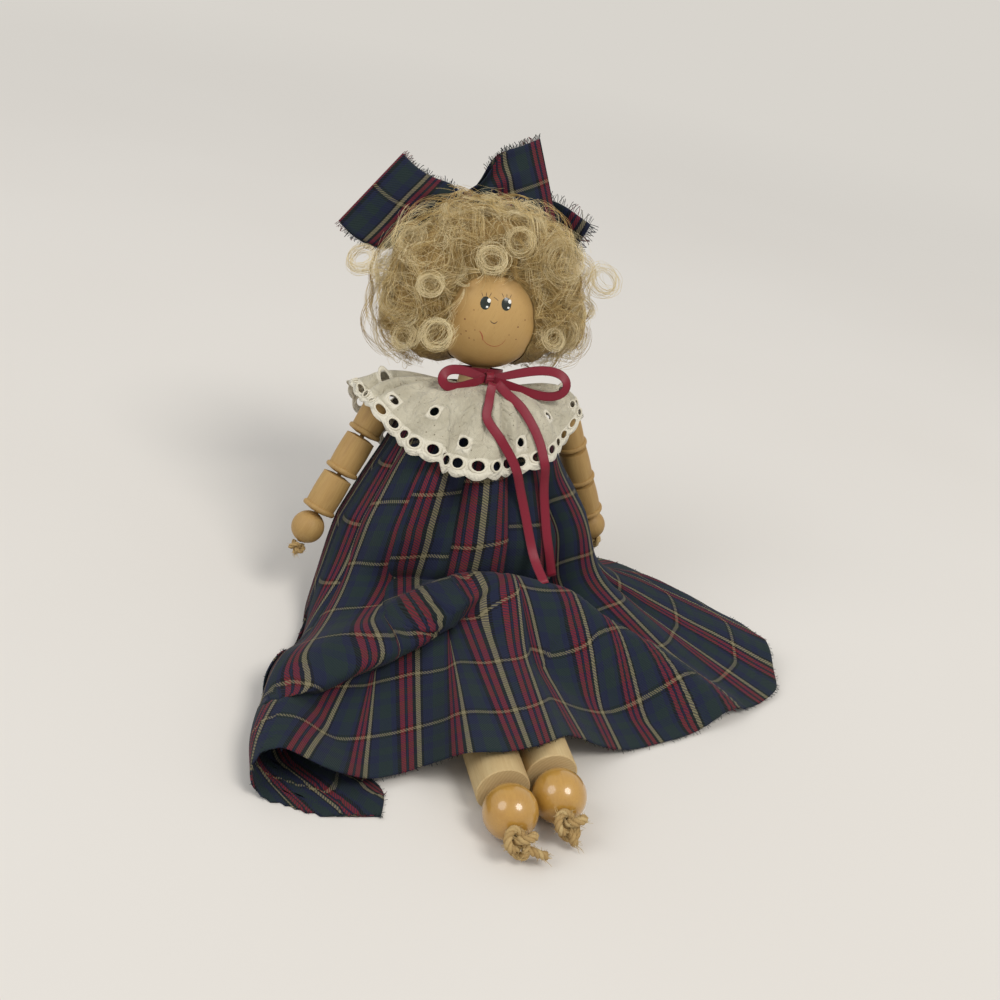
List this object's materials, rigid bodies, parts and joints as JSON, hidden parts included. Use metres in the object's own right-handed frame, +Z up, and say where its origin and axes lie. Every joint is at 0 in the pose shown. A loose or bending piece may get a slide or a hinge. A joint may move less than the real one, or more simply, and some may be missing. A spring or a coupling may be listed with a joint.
{
  "type": "strung wooden doll",
  "caption": "Sitting wooden doll strung on twine: ball head with curly hair, barrel arms and dowel legs, in a plaid dress with a lace collar. It folds at the hips and its arms swing.",
  "frame": {"origin": "on the surface that the doll sits on, under the middle of its overall box", "axes": "+Z up from that surface, -Y the way that the doll faces and its legs point, +X to the viewer's right; left and right in the names are the viewer's"},
  "size_m": [0.2323, 0.2448, 0.1942],
  "materials": {
    "raw_wood": "sanded, unvarnished",
    "turned_wood": "turned, stained light brown",
    "varnished_wood": "gloss varnish",
    "twine": "coarse jute",
    "plaid": "woven plaid",
    "lace": "eyelet lace",
    "satin": "satin",
    "hair": "curly strands"
  },
  "bodies": {
    "lap": {"dress_skirt": "plaid", "left_leg_twine": "twine", "right_leg_twine": "twine", "left_foot_knot": "twine", "right_foot_knot": "twine"},
    "left_leg": {"left_leg_dowel": "raw_wood"},
    "right_leg": {"right_leg_dowel": "raw_wood"},
    "left_foot": {"left_foot_bead": "varnished_wood"},
    "right_foot": {"right_foot_bead": "varnished_wood"},
    "torso": {"body_peg": "raw_wood", "neck_peg": "raw_wood", "hip_twine": "twine", "shoulder_twine": "twine", "dress_bodice": "plaid", "lace_collar": "lace", "neck_ribbon": "satin", "ribbon_knot": "satin", "ribbon_left_loop": "satin", "ribbon_right_loop": "satin", "ribbon_left_tail": "satin", "ribbon_right_tail": "satin"},
    "head": {"head_ball": "raw_wood", "hair": "hair", "hair_bow_knot": "plaid", "hair_bow_left_loop": "plaid", "hair_bow_right_loop": "plaid", "hair_bow_tail": "plaid"},
    "left_upper_arm": {"left_upper_barrel": "turned_wood", "left_upper_twine": "twine"},
    "left_middle_arm": {"left_middle_barrel": "turned_wood", "left_middle_twine": "twine"},
    "left_lower_arm": {"left_lower_barrel": "turned_wood", "left_lower_twine": "twine", "left_hand_knot": "twine"},
    "left_hand": {"left_hand_bead": "turned_wood"},
    "right_upper_arm": {"right_upper_barrel": "turned_wood", "right_upper_twine": "twine"},
    "right_middle_arm": {"right_middle_barrel": "turned_wood", "right_middle_twine": "twine"},
    "right_lower_arm": {"right_lower_barrel": "turned_wood", "right_lower_twine": "twine", "right_hand_knot": "twine"},
    "right_hand": {"right_hand_bead": "turned_wood"}
  },
  "joints": [
    {"name": "left_leg_turn", "type": "hinge", "parent": "lap", "child": "left_leg", "pos_m": [-0.03205, 0.03264, 0.01], "axis": [0, -1, 0], "continuous": true},
    {"name": "left_foot_turn", "type": "hinge", "parent": "lap", "child": "left_foot", "pos_m": [-0.03205, 0.03264, 0.01], "axis": [0, -1, 0], "continuous": true},
    {"name": "right_leg_turn", "type": "hinge", "parent": "lap", "child": "right_leg", "pos_m": [-0.01165, 0.03264, 0.01], "axis": [0, -1, 0], "continuous": true},
    {"name": "right_foot_turn", "type": "hinge", "parent": "lap", "child": "right_foot", "pos_m": [-0.01165, 0.03264, 0.01], "axis": [0, -1, 0], "continuous": true},
    {"name": "hip_fold", "type": "hinge", "parent": "lap", "child": "torso", "pos_m": [-0.02185, 0.03264, 0.01], "axis": [1, 0, 0], "range_deg": [-60, 20], "deforming": ["dress_skirt"]},
    {"name": "head_turn", "type": "hinge", "parent": "torso", "child": "head", "pos_m": [-0.02185, 0.07539, 0.12746], "axis": [0, 0.342, 0.9397], "range_deg": [-25, 25]},
    {"name": "left_shoulder", "type": "hinge", "parent": "torso", "child": "left_upper_arm", "pos_m": [-0.06185, 0.06171, 0.08987], "axis": [1, 0, 0], "range_deg": [-30, 30]},
    {"name": "left_elbow", "type": "hinge", "parent": "left_upper_arm", "child": "left_middle_arm", "pos_m": [-0.07106, 0.05526, 0.07214], "axis": [0.8988, -0.1499, -0.4119], "range_deg": [-12, 12]},
    {"name": "left_wrist", "type": "hinge", "parent": "left_middle_arm", "child": "left_lower_arm", "pos_m": [-0.07938, 0.04942, 0.05609], "axis": [0.8988, -0.1499, -0.4119], "range_deg": [-12, 12]},
    {"name": "left_hand_turn", "type": "hinge", "parent": "left_lower_arm", "child": "left_hand", "pos_m": [-0.09078, 0.04142, 0.03413], "axis": [-0.4384, -0.3074, -0.8446], "continuous": true},
    {"name": "right_shoulder", "type": "hinge", "parent": "torso", "child": "right_upper_arm", "pos_m": [0.01815, 0.06171, 0.08987], "axis": [1, 0, 0], "range_deg": [-52, 8]},
    {"name": "right_elbow", "type": "hinge", "parent": "right_upper_arm", "child": "right_middle_arm", "pos_m": [0.02736, 0.06237, 0.07101], "axis": [0.8988, -0.0153, 0.4381], "range_deg": [-12, 12]},
    {"name": "right_wrist", "type": "hinge", "parent": "right_middle_arm", "child": "right_lower_arm", "pos_m": [0.03569, 0.06297, 0.05394], "axis": [0.8988, -0.0153, 0.4381], "range_deg": [-12, 12]},
    {"name": "right_hand_turn", "type": "hinge", "parent": "right_lower_arm", "child": "right_hand", "pos_m": [0.04708, 0.06378, 0.03059], "axis": [0.4384, 0.0314, -0.8982], "continuous": true}
  ],
  "couplings": [
    {"joint": "left_wrist", "follows": "left_elbow", "ratio": 1},
    {"joint": "right_wrist", "follows": "right_elbow", "ratio": 1}
  ]
}
